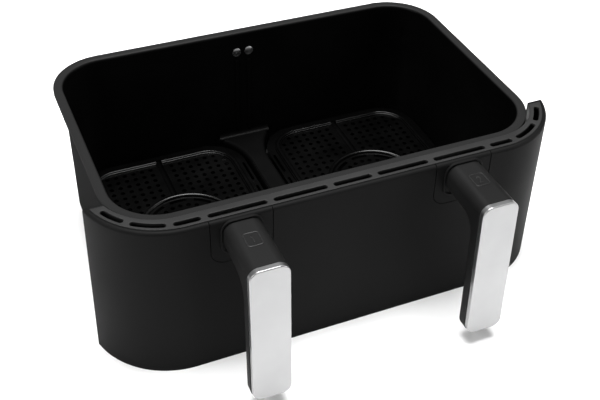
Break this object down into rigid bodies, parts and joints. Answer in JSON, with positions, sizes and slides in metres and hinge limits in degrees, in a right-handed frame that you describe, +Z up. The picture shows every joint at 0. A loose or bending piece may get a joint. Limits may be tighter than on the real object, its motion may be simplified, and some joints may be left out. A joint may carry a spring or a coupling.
{
  "type": "air fryer drawer",
  "caption": "Wide air fryer drawer: non-stick pan, slotted trim, curved front, upright handles with metal facings and lift-out crisper plates.",
  "frame": {"origin": "on the table under the middle of the whole drawer's outline, handles included", "axes": "+X to the right along the front, +Y from the handles to the back, +Z up"},
  "size_m": [0.404, 0.3218, 0.145],
  "materials": {
    "nonstick_coat": "glossy non-stick coating with a satin rim",
    "nonstick_plate": "satin non-stick coating",
    "black_fascia": "smooth matt moulding",
    "black_liner": "plain moulded",
    "black_trim": "fine grained moulding",
    "black_handle": "soft matt moulding",
    "satin_metal": "satin, very fine brushing",
    "plated_steel": "zinc plated",
    "rivet_metal": "bright pressed heads",
    "silicone": "matt silicone"
  },
  "bodies": {
    "drawer": {"basket_pan": "nonstick_coat", "rear_rivets": "rivet_metal", "rear_catch": "plated_steel", "fascia_shell": "black_fascia", "fascia_liner": "black_liner", "liner_screws": "plated_steel", "top_trim": "black_trim", "trim_screws": "plated_steel", "bracket_rivets": "rivet_metal", "handle_screws": "plated_steel", "grip_screws": "plated_steel", "pan_bracket_left": "plated_steel", "handle_mount_left": "black_fascia", "handle_body_left": "black_handle", "handle_core_left": "plated_steel", "grip_facing_left": "satin_metal", "pan_bracket_right": "plated_steel", "handle_mount_right": "black_fascia", "handle_body_right": "black_handle", "handle_core_right": "plated_steel", "grip_facing_right": "satin_metal"},
    "left_plate": {"crisper_plate_left": "nonstick_plate", "plate_feet_left": "silicone"},
    "right_plate": {"crisper_plate_right": "nonstick_plate", "plate_feet_right": "silicone"}
  },
  "joints": [
    {"name": "left_plate_lift", "type": "slide", "parent": "drawer", "child": "left_plate", "axis": [0, 0, 1], "range_m": [0, 0.2]},
    {"name": "right_plate_lift", "type": "slide", "parent": "drawer", "child": "right_plate", "axis": [0, 0, 1], "range_m": [0, 0.2]}
  ]
}
